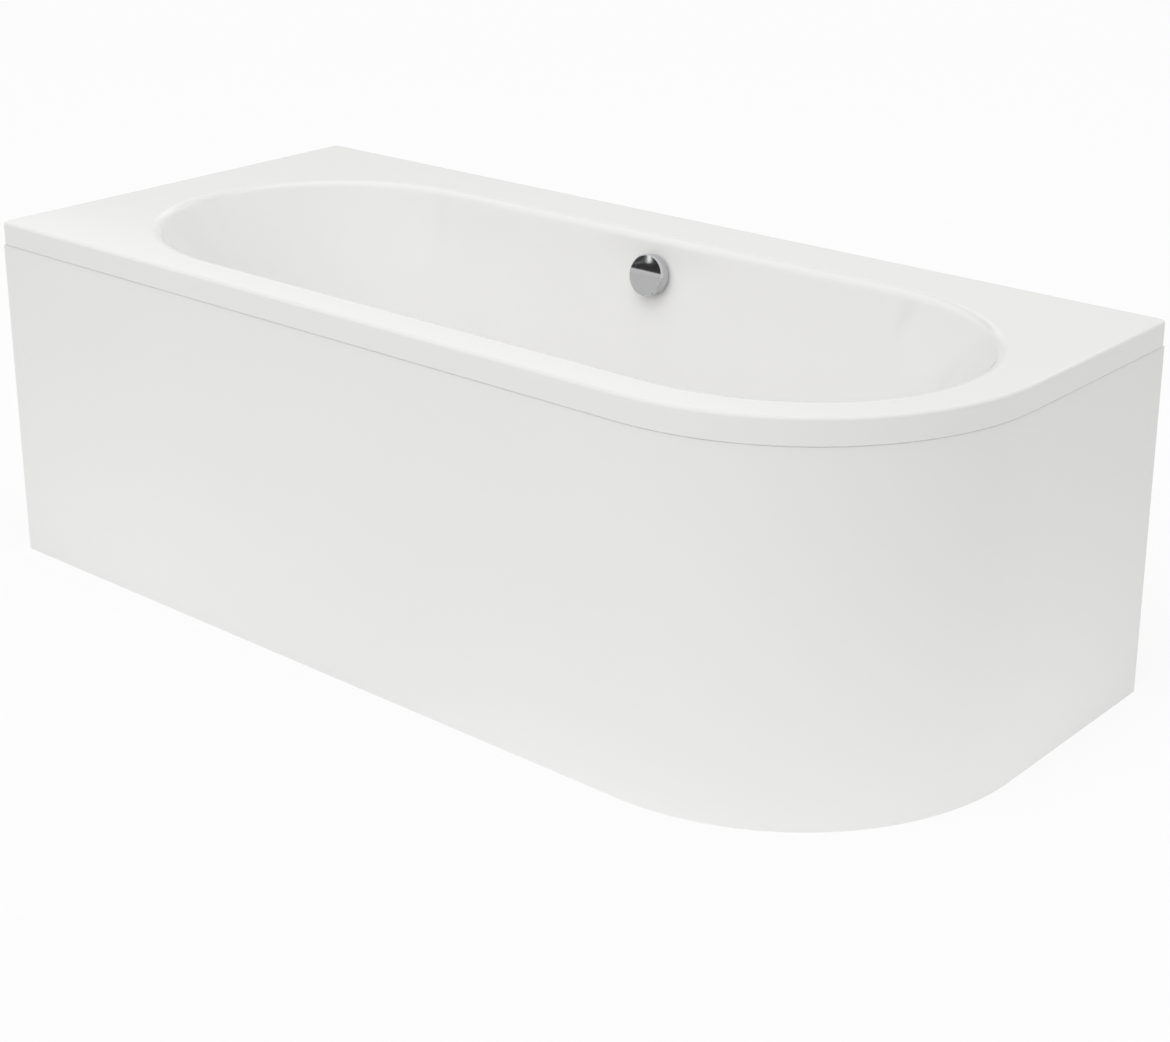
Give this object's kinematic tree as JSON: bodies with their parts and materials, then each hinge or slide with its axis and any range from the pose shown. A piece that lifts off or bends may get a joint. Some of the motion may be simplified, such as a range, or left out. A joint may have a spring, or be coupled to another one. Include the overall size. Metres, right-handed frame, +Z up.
{
  "type": "bathtub",
  "caption": "White acrylic corner bath, square at its wall sides and curved at one front corner, with a one-piece panel, a turning overflow knob and levelling feet.",
  "frame": {"origin": "on the floor, below the centre of the bath's plan", "axes": "+X along the bath to its curved end, +Y to the back wall, +Z up"},
  "size_m": [1.7, 0.75, 0.58],
  "materials": {
    "bath_acrylic": "gloss white cast acrylic",
    "panel_acrylic": "gloss white acrylic sheet",
    "chipboard": "raw chipboard under resin",
    "rim_timber": "raw chipboard strip under resin",
    "galvanised_steel": "galvanised pressed steel",
    "spring_steel": "zinc-plated spring steel",
    "zinc_fastener": "bright zinc plate",
    "foot_plastic": "black moulded plastic",
    "chrome": "polished chrome plate",
    "brass": "plain turned brass",
    "dark_plastic": "black moulded polypropylene",
    "white_plastic": "white moulded polypropylene",
    "hose_plastic": "grey ribbed polythene",
    "seal_rubber": "black rubber",
    "cable_sheath": "black plastic sheath"
  },
  "bodies": {
    "root": {"baseboard": "chipboard", "bath_panel": "panel_acrylic", "bath_shell": "bath_acrylic", "body_seal": "seal_rubber", "centre_foot_bracket": "galvanised_steel", "centre_foot_screws": "zinc_fastener", "flange_seal": "seal_rubber", "foot_lock_nuts": "zinc_fastener", "hose_nut_lower": "white_plastic", "hose_nut_upper": "white_plastic", "leg_channel_left": "galvanised_steel", "leg_channel_right": "galvanised_steel", "leg_screws": "zinc_fastener", "lever_pin": "brass", "outlet_nut": "white_plastic", "outlet_seal": "seal_rubber", "overflow_elbow": "dark_plastic", "overflow_face": "chrome", "overflow_hose": "hose_plastic", "overflow_seal": "seal_rubber", "panel_clip_screws": "zinc_fastener", "panel_clips": "spring_steel", "pull_cable": "cable_sheath", "rim_batten_back": "rim_timber", "rim_batten_front": "rim_timber", "rim_batten_left": "rim_timber", "rim_batten_right": "rim_timber", "trap_bend": "white_plastic", "trap_union_nut": "white_plastic", "trap_washer": "seal_rubber", "wall_bracket_back_left": "galvanised_steel", "wall_bracket_back_right": "galvanised_steel", "wall_bracket_end": "galvanised_steel", "wall_bracket_screws": "zinc_fastener", "waste_body": "dark_plastic", "waste_flange": "chrome"},
    "overflow_handle": {"overflow_knob": "chrome", "overflow_spindle": "brass"},
    "plug": {"waste_plug": "chrome", "plug_stem": "brass", "plug_seal": "seal_rubber"},
    "lever": {"lifting_lever": "dark_plastic"},
    "foot_front_left": {"foot_stud_front_left": "zinc_fastener", "foot_pad_front_left": "foot_plastic"},
    "foot_back_left": {"foot_stud_back_left": "zinc_fastener", "foot_pad_back_left": "foot_plastic"},
    "foot_front_right": {"foot_stud_front_right": "zinc_fastener", "foot_pad_front_right": "foot_plastic"},
    "foot_back_right": {"foot_stud_back_right": "zinc_fastener", "foot_pad_back_right": "foot_plastic"},
    "foot_centre": {"foot_stud_centre": "zinc_fastener", "foot_pad_centre": "foot_plastic"}
  },
  "joints": [
    {"name": "knob_turn", "type": "hinge", "parent": "root", "child": "overflow_handle", "pos_m": [0.024, 0.24482, 0.518], "axis": [0, -0.9781, 0.2079], "range_deg": [0, 120]},
    {"name": "plug_lift", "type": "slide", "parent": "root", "child": "plug", "axis": [0, 0, 1], "range_m": [0, 0.012]},
    {"name": "lever_swing", "type": "hinge", "parent": "root", "child": "lever", "pos_m": [0.024, 0.00103, 0.103], "axis": [1, 0, 0], "range_deg": [0, 40.1]},
    {"name": "level_front_left", "type": "slide", "parent": "root", "child": "foot_front_left", "axis": [0, 0, -1], "range_m": [-0.015, 0.02]},
    {"name": "level_back_left", "type": "slide", "parent": "root", "child": "foot_back_left", "axis": [0, 0, -1], "range_m": [-0.015, 0.02]},
    {"name": "level_front_right", "type": "slide", "parent": "root", "child": "foot_front_right", "axis": [0, 0, -1], "range_m": [-0.015, 0.02]},
    {"name": "level_back_right", "type": "slide", "parent": "root", "child": "foot_back_right", "axis": [0, 0, -1], "range_m": [-0.015, 0.02]},
    {"name": "level_centre", "type": "slide", "parent": "root", "child": "foot_centre", "axis": [0, 0, -1], "range_m": [-0.015, 0.02]}
  ],
  "couplings": [
    {"joint": "plug_lift", "follows": "knob_turn", "m_per_rad": 0.0057296},
    {"joint": "lever_swing", "follows": "knob_turn", "ratio": 0.33418}
  ]
}
